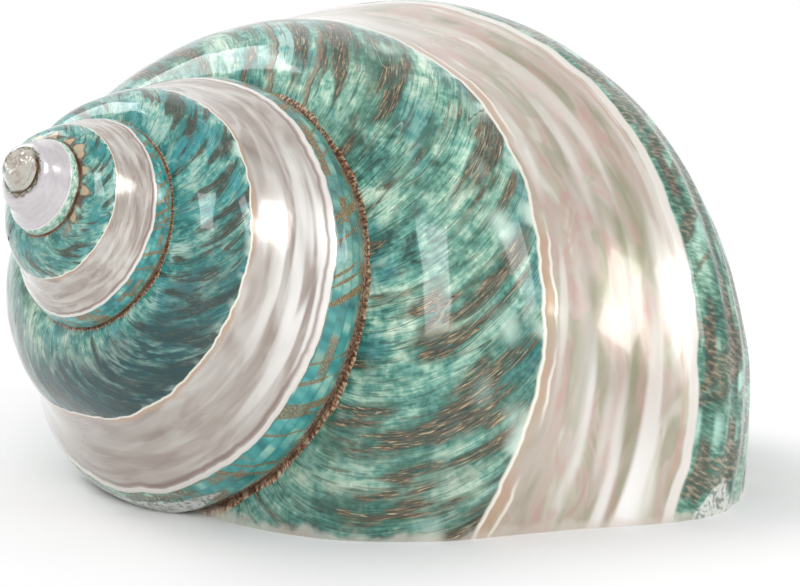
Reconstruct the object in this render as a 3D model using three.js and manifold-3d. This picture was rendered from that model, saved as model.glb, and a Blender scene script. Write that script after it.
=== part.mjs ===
// Turban shell: a right-handed sea snail shell, polished, with its ground lip on the floor.
//
// The shell is one piece. Its body is a tube whose outline keeps its shape and grows by the same
// ratio on every turn round the shell's axis, so each whorl is a larger copy of the one before and
// is built onto its outside. The tube is hollow from the mouth up, and its inner turns wind round a
// solid pillar, the columella. The mouth is cut off flat by the floor plane that the shell lies on.
//
// Shell frame: apex of the growth spiral at the origin, axis along +Z towards the base, growth
// turning from +X to +Y. Part frame: +Z up, floor at z = 0. Millimetres and radians.

import * as THREE from "three";
import { mergeVertices } from "three/addons/utils/BufferGeometryUtils.js";
import Module from "manifold-3d";

const TURN = 2 * Math.PI;
const degrees = THREE.MathUtils.degToRad;

// Growth.
const SIZE = 41.5; // axial distance from the apex to the suture, at growth angle zero
const WHORL_RATIO = 2.212; // size of a whorl over the one before
const STEPS_PER_TURN = 28;
const FIRST_STEP = -106; // where the first whorl leaves the tip, in steps from angle zero
const LAST_STEP = 16; // past the mouth, below the floor
const CAVITY_STEP = -50; // further up, the whorls are solid

// Outline of the tube in the half plane through the axis, as shares of SIZE: a polar curve round
// CENTRE, whose angle runs from the apex side over the outside to the base.
const CENTRE = { r: 0.34, z: 0.97 };
const MEAN_RADIUS = 0.402;
const HARMONICS = [
  { cos: -0.001, sin: -0.023 },
  { cos: 0.0615, sin: 0.015 },
  { cos: 0.02, sin: -0.024 },
  { cos: 0.0155, sin: -0.001 },
  { cos: 0.0115, sin: 0.0035 },
];
const INNERMOST = 0.04; // the tube's inner side stays this far from the axis

// Wall and pillar, as shares of SIZE at growth angle zero.
const WALL = 0.045;
const LIP_WALL_SHARE = 0.4; // the wall thins to this at the mouth
const LIP_THINS = { from: degrees(10), to: degrees(150) };
const PILLAR_SLOPE = 0.08; // radius over distance from the apex
const PILLAR_END = 1.42;
const TIP_SHARE = 0.8; // radius of the rounded first whorl over that of the tube there

// How the shell lies: its axis dips below the floor's plane towards the base.
const APEX_HEIGHT = 0.741 * SIZE;
const AXIS_DIP = degrees(24.6);
const AXIS_HEADING = degrees(54.4);
const SPIN = degrees(155.3);

// Facets.
const STEPS_PER_SECTOR = 14;
const OUTER_SIDES = 38;
const INNER_SIDES = 22;
const PILLAR_SIDES = 16;
const FINEST = 0.12; // smaller steps in the surface are smoothed away
const GRID = 1e-3; // points closer than this are one

const wasm = await Module();
wasm.setup();

// How large the tube is at a growth angle, against growth angle zero.
function growth(angle) {
  return WHORL_RATIO ** (angle / TURN);
}

// A point of the tube's outline, `inset` inside it, in shares of SIZE.
function outlinePoint(around, inset) {
  let radius = MEAN_RADIUS;
  let slope = 0;
  HARMONICS.forEach(({ cos, sin }, i) => {
    const n = i + 1;
    radius += cos * Math.cos(n * around) + sin * Math.sin(n * around);
    slope += n * (sin * Math.cos(n * around) - cos * Math.sin(n * around));
  });
  const outwards = new THREE.Vector2(Math.sin(around), -Math.cos(around));
  const along = new THREE.Vector2(Math.cos(around), Math.sin(around));
  const normal = outwards
    .clone()
    .multiplyScalar(radius)
    .addScaledVector(along, -slope)
    .normalize();
  const point = outwards.multiplyScalar(radius).addScaledVector(normal, -inset);
  const nearest = INNERMOST + inset;
  return { r: Math.max(CENTRE.r + point.x, nearest), z: CENTRE.z + point.y };
}

// The ring of outline points at one growth angle, in the shell frame.
function ring(angle, sides, wallAt) {
  const scale = SIZE * growth(angle);
  const points = [];
  for (let i = 0; i < sides; i++) {
    const { r, z } = outlinePoint((i / sides) * TURN, wallAt(angle));
    points.push(
      new THREE.Vector3(
        r * Math.cos(angle) * scale,
        r * Math.sin(angle) * scale,
        z * scale,
      ),
    );
  }
  return points;
}

// The middle of a ring of points.
function middleOf(points) {
  const sum = points.reduce((total, p) => total.add(p), new THREE.Vector3());
  return sum.divideScalar(points.length);
}

// A closed mesh through a row of rings, with a blunt cone at each end, so that two sectors that
// share a ring overlap.
function loft(rings) {
  const sides = rings[0].length;
  const points = rings.flat();
  const faces = [];
  for (let row = 0; row + 1 < rings.length; row++) {
    for (let i = 0; i < sides; i++) {
      const a = row * sides + i;
      const b = row * sides + ((i + 1) % sides);
      faces.push(a, a + sides, b, b, a + sides, b + sides);
    }
  }
  const last = rings.length - 1;
  [
    [0, 1],
    [last, last - 1],
  ].forEach(([row, next]) => {
    const middle = middleOf(rings[row]);
    const tip = middle.clone().sub(middleOf(rings[next])).divideScalar(2).add(middle);
    const centre = points.push(tip) - 1;
    for (let i = 0; i < sides; i++) {
      const a = row * sides + i;
      const b = row * sides + ((i + 1) % sides);
      faces.push(centre, ...(row === 0 ? [a, b] : [b, a]));
    }
  });
  const geometry = new THREE.BufferGeometry().setFromPoints(points);
  geometry.setIndex(faces);
  return geometry;
}

// A three.js geometry as a solid that can be joined and cut.
function solidOf(geometry) {
  const bare = geometry.clone();
  bare.deleteAttribute("normal");
  bare.deleteAttribute("uv");
  const merged = mergeVertices(bare, GRID);
  const solid = new wasm.Manifold(
    new wasm.Mesh({
      numProp: 3,
      vertProperties: merged.attributes.position.array,
      triVerts: new Uint32Array(merged.index.array),
    }),
  );
  return solid;
}

// A solid as a three.js geometry.
function geometryOf(solid) {
  const mesh = solid.getMesh();
  const geometry = new THREE.BufferGeometry();
  geometry.setAttribute(
    "position",
    new THREE.BufferAttribute(new Float32Array(mesh.vertProperties), 3),
  );
  geometry.setIndex(new THREE.BufferAttribute(mesh.triVerts, 1));
  return geometry;
}

// The largest piece of a solid, without the slivers that joining leaves.
function largest(solid) {
  return solid.decompose().reduce((a, b) => (b.volume() > a.volume() ? b : a));
}

// The growth angle at a step.
function angleAt(step) {
  return (step / STEPS_PER_TURN) * TURN;
}

// One sector of the tube, from its first step on.
function tubeSector(start, sides, wallAt) {
  const end = Math.min(start + STEPS_PER_SECTOR, LAST_STEP);
  const rings = [];
  for (let step = start; step <= end; step++) {
    rings.push(ring(angleAt(step), sides, wallAt));
  }
  return solidOf(loft(rings));
}

// The wall's thickness at a growth angle, thinner towards the lip.
function wallThickness(angle) {
  const { from, to } = LIP_THINS;
  const thinning = THREE.MathUtils.smoothstep(angle, from, to);
  return WALL * (1 - (1 - LIP_WALL_SHARE) * thinning);
}

// The columella: a slender cone on the axis with a rounded end.
function pillar() {
  const length = PILLAR_END * SIZE;
  const radius = PILLAR_SLOPE * length;
  const profile = [new THREE.Vector2(0, 0)];
  const bend = new THREE.Path().absellipse(0, length, radius, 2 * radius, 0, Math.PI / 2);
  bend.getPoints(4).forEach((p) => profile.push(new THREE.Vector2(p.x, p.y)));
  const geometry = new THREE.LatheGeometry(profile, PILLAR_SIDES);
  geometry.rotateX(Math.PI / 2);
  return solidOf(geometry);
}

// The rounded first whorl at the tip.
function tip() {
  const { r, z } = CENTRE;
  const angle = angleAt(FIRST_STEP);
  const scale = SIZE * growth(angle);
  const geometry = new THREE.SphereGeometry(TIP_SHARE * MEAN_RADIUS * scale, 12, 8);
  geometry.translate(r * Math.cos(angle) * scale, r * Math.sin(angle) * scale, z * scale);
  return solidOf(geometry);
}

// From the shell frame to the part frame, before the origin is set below the middle.
function lyingPose() {
  const heading = new THREE.Matrix4().makeRotationZ(AXIS_HEADING);
  const dip = new THREE.Matrix4().makeRotationY(Math.PI / 2 + AXIS_DIP);
  const spin = new THREE.Matrix4().makeRotationZ(SPIN);
  return heading.multiply(dip).multiply(spin).setPosition(0, 0, APEX_HEIGHT);
}

// Everything below the floor, in the shell frame.
function underFloor(pose) {
  const side = 6 * SIZE;
  const block = new THREE.BoxGeometry(side, side, side).translate(0, 0, -side / 2);
  return solidOf(block.applyMatrix4(pose.clone().invert()));
}

// The whole shell in the shell frame: the tube's turns joined, and then hollowed.
function shellSolid(pose) {
  let body = pillar().add(tip());
  let cavity = null;
  for (let start = FIRST_STEP; start < LAST_STEP; start += STEPS_PER_SECTOR) {
    const inside = start + STEPS_PER_SECTOR / 2;
    if (inside >= CAVITY_STEP && inside < LAST_STEP) {
      const space = tubeSector(inside, INNER_SIDES, wallThickness).subtract(body);
      cavity = cavity ? cavity.add(space) : space;
    }
    body = body.add(tubeSector(start, OUTER_SIDES, () => 0));
  }
  return largest(body.subtract(cavity).subtract(underFloor(pose)).simplify(FINEST));
}

// The shell in the part frame, its origin below the middle of its box.
function shellGeometry() {
  const pose = lyingPose();
  const geometry = geometryOf(shellSolid(pose)).applyMatrix4(pose);
  geometry.computeBoundingBox();
  const middle = geometry.boundingBox.getCenter(new THREE.Vector3());
  geometry.translate(-middle.x, -middle.y, -geometry.boundingBox.min.z);
  return geometryOf(largest(solidOf(geometry)));
}

function shellMesh() {
  const material = new THREE.MeshStandardMaterial({
    color: 0x3f8f86,
    roughness: 0.15,
    metalness: 0,
  });
  const mesh = new THREE.Mesh(shellGeometry(), material);
  mesh.name = "shell";
  return mesh;
}

const turbanShell = new THREE.Group();
turbanShell.add(shellMesh());

export default turbanShell;
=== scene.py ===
"""A polished, banded turban shell lying on its mouth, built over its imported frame.

The shell is a tube that coils round an axis and grows by the same ratio each turn. Geometry Nodes
build the tube in sectors, join them, hollow them and cut them off flat at the floor. Every point of
the surface keeps its growth (in turns) and its place round the tube (as a share of a circle) in one
UV map, and all the colours follow those two.
"""

import logging
import math
from dataclasses import dataclass, field
from enum import Enum
from typing import Any, Union

import bpy
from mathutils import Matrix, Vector


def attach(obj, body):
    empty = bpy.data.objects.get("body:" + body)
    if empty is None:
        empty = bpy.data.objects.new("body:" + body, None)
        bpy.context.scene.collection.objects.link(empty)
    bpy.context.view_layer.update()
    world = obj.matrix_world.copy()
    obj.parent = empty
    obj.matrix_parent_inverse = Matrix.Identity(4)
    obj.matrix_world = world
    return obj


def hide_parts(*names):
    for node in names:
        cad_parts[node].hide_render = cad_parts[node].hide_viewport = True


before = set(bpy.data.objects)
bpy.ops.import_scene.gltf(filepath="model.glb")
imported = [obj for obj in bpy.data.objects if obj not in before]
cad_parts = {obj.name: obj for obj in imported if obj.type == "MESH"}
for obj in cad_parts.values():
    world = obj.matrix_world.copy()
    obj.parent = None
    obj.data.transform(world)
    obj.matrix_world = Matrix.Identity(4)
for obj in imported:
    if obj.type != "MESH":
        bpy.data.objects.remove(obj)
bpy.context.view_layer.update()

log = logging.getLogger("turban_shell")

GROWTH_MAP = "growth"
KIND = "kind"
MM = 0.001
SAME_PLACE = 1e-6

Number = Union[float, "Value"]


class Kind(Enum):
    """What a face of the shell belongs to."""

    OUTSIDE = 1
    CAVITY = 2
    COLUMELLA = 3
    GROUND_EDGE = 4


class Combine(Enum):
    """What is done with closed meshes."""

    JOIN = "UNION"
    TAKE_AWAY = "DIFFERENCE"


def colour(code: str) -> tuple[float, float, float, float]:
    """The linear colour of a six-digit hexadecimal display colour.

    Args:
        code: Red, green and blue, two hexadecimal digits each.

    Returns:
        Linear red, green, blue and an alpha of one.
    """
    channels = [int(code[i : i + 2], 16) / 255 for i in (0, 2, 4)]
    linear = [c / 12.92 if c <= 0.04045 else ((c + 0.055) / 1.055) ** 2.4 for c in channels]
    return (*linear, 1.0)


class Value:
    """A number that a node tree works out: a socket with arithmetic."""

    def __init__(self, tree: "Tree", socket: bpy.types.NodeSocket) -> None:
        """Wraps an output socket of the tree."""
        self.tree = tree
        self.socket = socket

    def _math(self, operation: str, *values: Number) -> "Value":
        """Adds a Math node of that operation on the values."""
        node = self.tree.add("ShaderNodeMath", {"operation": operation}, dict(enumerate(values)))
        return Value(self.tree, node.outputs[0])

    def __add__(self, other: Number) -> "Value":
        """self + other."""
        return self._math("ADD", self, other)

    def __radd__(self, other: Number) -> "Value":
        """other + self."""
        return self._math("ADD", other, self)

    def __sub__(self, other: Number) -> "Value":
        """self - other."""
        return self._math("SUBTRACT", self, other)

    def __rsub__(self, other: Number) -> "Value":
        """other - self."""
        return self._math("SUBTRACT", other, self)

    def __mul__(self, other: Number) -> "Value":
        """self * other."""
        return self._math("MULTIPLY", self, other)

    def __rmul__(self, other: Number) -> "Value":
        """other * self."""
        return self._math("MULTIPLY", other, self)

    def __truediv__(self, other: Number) -> "Value":
        """self / other."""
        return self._math("DIVIDE", self, other)

    def __rtruediv__(self, other: Number) -> "Value":
        """other / self."""
        return self._math("DIVIDE", other, self)

    def __rpow__(self, other: Number) -> "Value":
        """other ** self."""
        return self._math("POWER", other, self)

    def __pow__(self, other: Number) -> "Value":
        """self ** other."""
        return self._math("POWER", self, other)

    def __neg__(self) -> "Value":
        """-self."""
        return self._math("MULTIPLY", self, -1.0)

    def at_least(self, low: Number) -> "Value":
        """The larger of this and low."""
        return self._math("MAXIMUM", self, low)

    def at_most(self, high: Number) -> "Value":
        """The smaller of this and high."""
        return self._math("MINIMUM", self, high)

    def sin(self) -> "Value":
        """The sine."""
        return self._math("SINE", self)

    def cos(self) -> "Value":
        """The cosine."""
        return self._math("COSINE", self)

    def abs(self) -> "Value":
        """The size without the sign."""
        return self._math("ABSOLUTE", self)

    def root(self) -> "Value":
        """The square root."""
        return self._math("SQRT", self)

    def rise(self, low: Number, high: Number) -> "Value":
        """A smooth step from zero at low to one at high.

        Args:
            low: Where the step starts.
            high: Where it ends.

        Returns:
            The step, from zero to one.
        """
        node = self.tree.add(
            "ShaderNodeMapRange",
            {"interpolation_type": "SMOOTHSTEP"},
            {"Value": self, "From Min": low, "From Max": high},
        )
        return Value(self.tree, node.outputs[0])

    def fall(self, low: Number, high: Number) -> "Value":
        """A smooth step from one at low to zero at high."""
        return 1 - self.rise(low, high)

    def bump(self, middle: Number, half_width: float) -> "Value":
        """A smooth hill of height one round the middle, down to zero at half_width."""
        return (self - middle).abs().fall(0.0, half_width)


class Tree:
    """A node tree that is written from Python: geometry or shader nodes."""

    def __init__(self, nodes: bpy.types.NodeTree) -> None:
        """Starts from an empty tree."""
        self.data = nodes

    def add(
        self,
        kind: str,
        settings: dict[str, Any] | None = None,
        sockets: dict[str | int, Any] | None = None,
    ) -> bpy.types.Node:
        """Adds a node, sets it up and fills its sockets.

        Args:
            kind: The node's type.
            settings: Properties of the node, set first. "stops" is a colour ramp's list of
                (position, colour).
            sockets: A value, link or Value for an input, by its name, identifier or index.

        Returns:
            The node.
        """
        node = self.data.nodes.new(kind)
        for name, value in (settings or {}).items():
            if name == "stops":
                self._set_stops(node.color_ramp, value)
            else:
                setattr(node, name, value)
        for key, value in (sockets or {}).items():
            self.fill(self.input_of(node, key), value)
        return node

    @staticmethod
    def _set_stops(ramp: bpy.types.ColorRamp, stops: list[tuple[float, str]]) -> None:
        """Gives a colour ramp its stops.

        Args:
            ramp: The ramp.
            stops: Position and display colour of each.
        """
        while len(ramp.elements) < len(stops):
            ramp.elements.new(1.0)
        for element, (position, code) in zip(ramp.elements, stops):
            element.position = position
            element.color = colour(code)

    @staticmethod
    def input_of(node: bpy.types.Node, key: str | int) -> bpy.types.NodeSocket:
        """An input socket of a node.

        Args:
            node: The node.
            key: The socket's index, identifier or name.

        Returns:
            The first enabled socket that fits.
        """
        if isinstance(key, int):
            return node.inputs[key]
        by_identifier = [s for s in node.inputs if s.identifier == key and s.enabled]
        return (by_identifier or [s for s in node.inputs if s.name == key and s.enabled])[0]

    def fill(self, socket: bpy.types.NodeSocket, value: Any) -> None:
        """Sets a socket to a constant, or links what is given to it.

        Args:
            socket: The input.
            value: A Value, an output socket, a list of them, or a constant.
        """
        if isinstance(value, list):
            for one in value:
                self.fill(socket, one)
        elif isinstance(value, Value):
            self.data.links.new(value.socket, socket)
        elif isinstance(value, bpy.types.NodeSocket):
            self.data.links.new(value, socket)
        else:
            socket.default_value = value

    def value(self, socket: bpy.types.NodeSocket) -> Value:
        """An output socket as a number to reckon with."""
        return Value(self, socket)

    def vector(self, x: Number, y: Number, z: Number = 0.0) -> bpy.types.NodeSocket:
        """A vector from three numbers."""
        return self.add("ShaderNodeCombineXYZ", None, {0: x, 1: y, 2: z}).outputs[0]


class GeometryTree(Tree):
    """A Geometry Nodes group with named inputs and one mesh as its output."""

    def __init__(self, name: str, inputs: dict[str, float | int]) -> None:
        """Makes the group.

        Args:
            name: The group's name.
            inputs: Default of each input. Whole numbers make integer inputs.
        """
        group = bpy.data.node_groups.new(name, "GeometryNodeTree")
        super().__init__(group)
        group.interface.new_socket("Geometry", in_out="OUTPUT", socket_type="NodeSocketGeometry")
        for label, default in inputs.items():
            whole = isinstance(default, int)
            kind = "NodeSocketInt" if whole else "NodeSocketFloat"
            group.interface.new_socket(label, in_out="INPUT", socket_type=kind).default_value = default
        self._inputs = self.add("NodeGroupInput")

    def given(self, name: str) -> Value:
        """One of the group's inputs."""
        return self.value(self._inputs.outputs[name])

    def finish(self, mesh: bpy.types.NodeSocket) -> bpy.types.NodeTree:
        """Connects the result and gives the group."""
        self.add("NodeGroupOutput", None, {0: mesh})
        return self.data

    def keep(
        self, mesh: bpy.types.NodeSocket, name: str, domain: str, kind: str, value: Any
    ) -> bpy.types.NodeSocket:
        """Stores a value on the mesh under a name.

        Args:
            mesh: The mesh.
            name: The attribute's name.
            domain: FACE, CORNER or POINT.
            kind: The attribute's data type.
            value: A constant or a field.

        Returns:
            The mesh with the attribute.
        """
        node = self.add(
            "GeometryNodeStoreNamedAttribute",
            {"data_type": kind, "domain": domain},
            {"Geometry": mesh, "Name": name, "Value": value},
        )
        return node.outputs[0]

    def of_kind(self, mesh: bpy.types.NodeSocket, kind: Kind) -> bpy.types.NodeSocket:
        """Marks all of a mesh's faces as one kind."""
        return self.keep(mesh, KIND, "FACE", "INT", kind.value)

    def combine(self, how: Combine, *meshes: bpy.types.NodeSocket) -> bpy.types.NodeSocket:
        """Joins closed meshes, or takes the later ones from the first.

        Args:
            how: What is done with them.
            meshes: The closed meshes.

        Returns:
            One closed mesh.
        """
        settings = {"operation": how.value, "solver": "MANIFOLD"}
        first, *others = meshes
        if how is Combine.JOIN:
            sockets: dict[str | int, Any] = {"Mesh 2": list(meshes)}
        else:
            sockets = {"Mesh 1": first, "Mesh 2": others}
        return self.add("GeometryNodeMeshBoolean", settings, sockets).outputs[0]


@dataclass(frozen=True)
class Harmonic:
    """One ripple of the outline's radius.

    Attributes:
        cos: Its cosine part.
        sin: Its sine part.
    """

    cos: float
    sin: float


@dataclass(frozen=True)
class Outline:
    """The tube's outline in the half plane through the axis, as shares of the shell's size.

    Attributes:
        centre_r: Distance of its centre from the axis.
        centre_z: Distance of its centre from the apex, along the axis.
        mean: Its mean radius.
        harmonics: The ripples that give it its shape, once round first.
        innermost: The nearest that it comes to the axis.
        seam: Where the grid closes, as a share of the way round.
    """

    centre_r: float = 0.34
    centre_z: float = 0.97
    mean: float = 0.402
    harmonics: tuple[Harmonic, ...] = (
        Harmonic(-0.001, -0.023),
        Harmonic(0.0615, 0.015),
        Harmonic(0.02, -0.024),
        Harmonic(0.0155, -0.001),
        Harmonic(0.0115, 0.0035),
    )
    innermost: float = 0.04
    seam: float = -1 / 6


@dataclass(frozen=True)
class Growth:
    """How the shell grows along its length, in turns from where it has its full size.

    Attributes:
        size: The full size, in metres.
        ratio: How many times bigger it is a turn later.
        first: Where the shell starts.
        last: Where it ends.
        sector: Length of one sector.
        hollow_from: Where the hollow starts.
    """

    size: float = 41.5 * MM
    ratio: float = 2.212
    first: float = -106 / 28
    last: float = 16 / 28
    sector: float = 0.5
    hollow_from: float = -1.75


@dataclass(frozen=True)
class Wall:
    """The shell's wall and the pillar in its middle, as shares of the shell's size.

    Attributes:
        thickness: The wall's thickness.
        lip_share: The share of it that is left at the lip.
        thins_from: Where it starts to thin, in turns.
        thins_to: Where it has thinned, in turns.
        soft_inside: The share of the outside's relief that the inside shows.
        pillar_slope: The pillar's radius at a distance of one along the axis.
        pillar_start: Where the pillar starts, along the axis.
        pillar_end: Where its rounded end starts.
        tip_share: Radius of the ball at the apex, as a share of the outline's.
    """

    thickness: float = 0.045
    lip_share: float = 0.4
    thins_from: float = 10 / 360
    thins_to: float = 150 / 360
    soft_inside: float = 0.35
    pillar_slope: float = 0.08
    pillar_start: float = 0.045
    pillar_end: float = 1.42
    tip_share: float = 0.86


@dataclass(frozen=True)
class Relief:
    """How far the outside stands proud of its plain outline.

    Attributes:
        waves: Height of the soft waves, in metres.
        wave_scale: Their fineness, per metre.
        ripples: Height of the ripples, in metres.
        ripples_per_turn: Their fineness along the growth.
        ripples_round: Their fineness round the tube.
        ground: Depth of the ground bands, as a share of the whorl's size.
        cords: Height of the spiral cords, as a share of the whorl's size.
    """

    waves: float = 0.9 * MM
    wave_scale: float = 75.0
    ripples: float = 0.5 * MM
    ripples_per_turn: float = 9
    ripples_round: float = 26
    ground: float = 0.0035
    cords: float = 0.0022


@dataclass(frozen=True)
class Lie:
    """How the shell lies on the floor.

    Attributes:
        apex: Where its apex is, in metres.
        heading: The way its axis points along the floor, in radians.
        dip: How far the axis dips below level, in radians.
        spin: How far the shell is turned round its axis, in radians.
    """

    apex: Vector = field(default_factory=lambda: Vector((-28.12, -26.29, 30.75)) * MM)
    heading: float = math.radians(54.4)
    dip: float = math.radians(24.6)
    spin: float = math.radians(155.3)


@dataclass(frozen=True)
class Bands:
    """Where the surface changes round the tube, in degrees from the apex side.

    Attributes:
        suture: Where the whorl leaves the one before.
        nacre_from: Where the nacre starts.
        nacre_to: Where it ends.
        next_whorl: Where the next whorl covers it.
        last_suture_turn: Growth at which no later whorl covers it, in turns.
        cord_top: Middle of the first spiral cord.
        cord_pitch: From one cord to the next.
        scars: Growth at each healed break of the lip, in degrees.
    """

    suture: float = -2.6
    nacre_from: float = 27.0
    nacre_to: float = 72.0
    next_whorl: float = 94.8
    last_suture_turn: float = -0.46
    cord_top: float = 71.5
    cord_pitch: float = 9.0
    scars: tuple[float, ...] = (45.0, 59.0)


@dataclass(frozen=True)
class Fineness:
    """How finely the meshes are divided.

    Attributes:
        steps: Steps along a sector at full size.
        sides: Sides round it at full size.
        least_steps: The fewest steps of a small sector.
        least_sides: The fewest sides.
        coarser_inside: How many times coarser the hollow is.
        pillar: Corners along the pillar, and round it.
        tip: Segments and rings of the ball at the apex.
    """

    steps: int = 118
    sides: int = 168
    least_steps: int = 24
    least_sides: int = 40
    coarser_inside: float = 2.2
    pillar: tuple[int, int] = (80, 41)
    tip: tuple[int, int] = (40, 24)


@dataclass(frozen=True)
class TubeSector:
    """One closed sector of the tube, as a node group.

    Attributes:
        outline: The tube's outline.
        growth: How it grows.
        wall: How thick it is.
        bands: Where its surface changes.
        relief: How far its surface stands proud.
    """

    outline: Outline
    growth: Growth
    wall: Wall
    bands: Bands
    relief: Relief

    def build(self) -> bpy.types.NodeTree:
        """Writes the group.

        Returns:
            The node group, with the sector's place, fineness and wall as inputs.
        """
        tree = GeometryTree(
            "Tube sector",
            {
                "Size": self.growth.size,
                "Whorl Ratio": self.growth.ratio,
                "First Turn": 0.0,
                "Turns": self.growth.sector,
                "Inset": 0.0,
                "Relief": 1.0,
                "Steps": 40,
                "Sides": 60,
            },
        )
        steps, sides = tree.given("Steps"), tree.given("Sides")
        grid = tree.add(
            "GeometryNodeMeshGrid",
            None,
            {"Size X": 1.0, "Size Y": 1.0, "Vertices X": steps + 3, "Vertices Y": sides + 1},
        )
        across = tree.add("ShaderNodeSeparateXYZ", None, {0: grid.outputs["UV Map"]})
        row = tree.value(across.outputs[0]) * (steps + 2) - 1
        share = (row + 1).at_most(steps + 1 - row).at_most(1.0).at_least(0.0)
        along = row.at_least(-0.5).at_most(steps + 0.5) / steps
        turn = tree.given("First Turn") + tree.given("Turns") * along
        around = tree.value(across.outputs[1]) + self.outline.seam
        angle = turn * math.tau
        scale = tree.given("Size") * tree.given("Whorl Ratio") ** turn

        thinning = turn.rise(self.wall.thins_from, self.wall.thins_to)
        inset = tree.given("Inset") * (1 - (1 - self.wall.lip_share) * thinning)
        flat_r, flat_z = self._outline_point(around, share, inset)
        plain = self._place(tree, flat_r, flat_z, angle, scale)
        relief = self._relief(tree, plain, turn, around, scale) * tree.given("Relief")
        r, z = self._outline_point(around, share, inset - relief)
        placed = tree.add(
            "GeometryNodeSetPosition",
            None,
            {"Geometry": grid.outputs["Mesh"], "Position": self._place(tree, r, z, angle, scale)},
        )
        mapped = tree.keep(
            placed.outputs[0], GROWTH_MAP, "CORNER", "FLOAT2", tree.vector(turn, around)
        )
        closed = tree.add(
            "GeometryNodeMergeByDistance", None, {"Geometry": mapped, "Distance": SAME_PLACE}
        )
        return tree.finish(closed.outputs[0])

    def _outline_point(self, around: Value, share: Value, inset: Value) -> tuple[Value, Value]:
        """A point of the outline, inside it by the inset.

        Args:
            around: Share of the way round.
            share: One on the outline, zero at its centre.
            inset: How far inside, as a share of the shell's size.

        Returns:
            Distance from the axis and along it.
        """
        phi = around * math.tau
        radius: Number = self.outline.mean
        slope: Number = 0.0
        for n, ripple in enumerate(self.outline.harmonics, start=1):
            wave_cos, wave_sin = (phi * n).cos(), (phi * n).sin()
            radius = wave_cos * ripple.cos + wave_sin * ripple.sin + radius
            slope = wave_cos * (n * ripple.sin) - wave_sin * (n * ripple.cos) + slope
        cos, sin = phi.cos(), phi.sin()
        length = (radius * radius + slope * slope).root()
        normal_r = (sin * radius - cos * slope) / length
        normal_z = (-cos * radius - sin * slope) / length
        r = (sin * radius - normal_r * inset) * share + self.outline.centre_r
        z = (-cos * radius - normal_z * inset) * share + self.outline.centre_z
        return r.at_least(inset + self.outline.innermost), z

    @staticmethod
    def _place(
        tree: Tree, r: Value, z: Value, angle: Value, scale: Value
    ) -> bpy.types.NodeSocket:
        """The point at a distance from and along the axis, at a growth angle."""
        return tree.vector(r * angle.cos() * scale, r * angle.sin() * scale, z * scale)

    def _relief(
        self,
        tree: Tree,
        place: bpy.types.NodeSocket,
        turn: Value,
        around: Value,
        scale: Value,
    ) -> Value:
        """How far the surface stands proud: the ground bands, soft waves and low spiral cords.

        Args:
            tree: The tree to write in.
            place: The point on the plain surface.
            turn: Growth, in turns.
            around: Share of the way round.
            scale: The whorl's size, in metres.

        Returns:
            The height, as a share of the whorl's size.
        """
        degrees = around * 360
        band = degrees.rise(self.bands.nacre_from - 1.5, self.bands.nacre_from + 2.5) * (
            degrees.fall(self.bands.nacre_to - 2.5, self.bands.nacre_to + 1.5)
        )
        wave = tree.add(
            "ShaderNodeTexNoise",
            None,
            {"Vector": place, "Scale": self.relief.wave_scale, "Detail": 1.0},
        )
        stretched = tree.vector(
            turn * self.relief.ripples_per_turn, around * self.relief.ripples_round
        )
        ripple = tree.add(
            "ShaderNodeTexNoise", None, {"Vector": stretched, "Scale": 1.0, "Detail": 2.0}
        )
        waves = (tree.value(wave.outputs[0]) - 0.5) * self.relief.waves / scale
        ripples = (tree.value(ripple.outputs[0]) - 0.5) * self.relief.ripples / scale
        cords = ((degrees - self.bands.cord_top) * (math.tau / self.bands.cord_pitch)).cos()
        cords = cords * degrees.rise(72, 80) * degrees.fall(190, 215)
        shown = degrees.rise(-50, -20) * degrees.fall(250, 290)
        ripples = ripples * (1 - 0.5 * band)
        return waves + (ripples - band * self.relief.ground + cords * self.relief.cords) * shown


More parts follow.
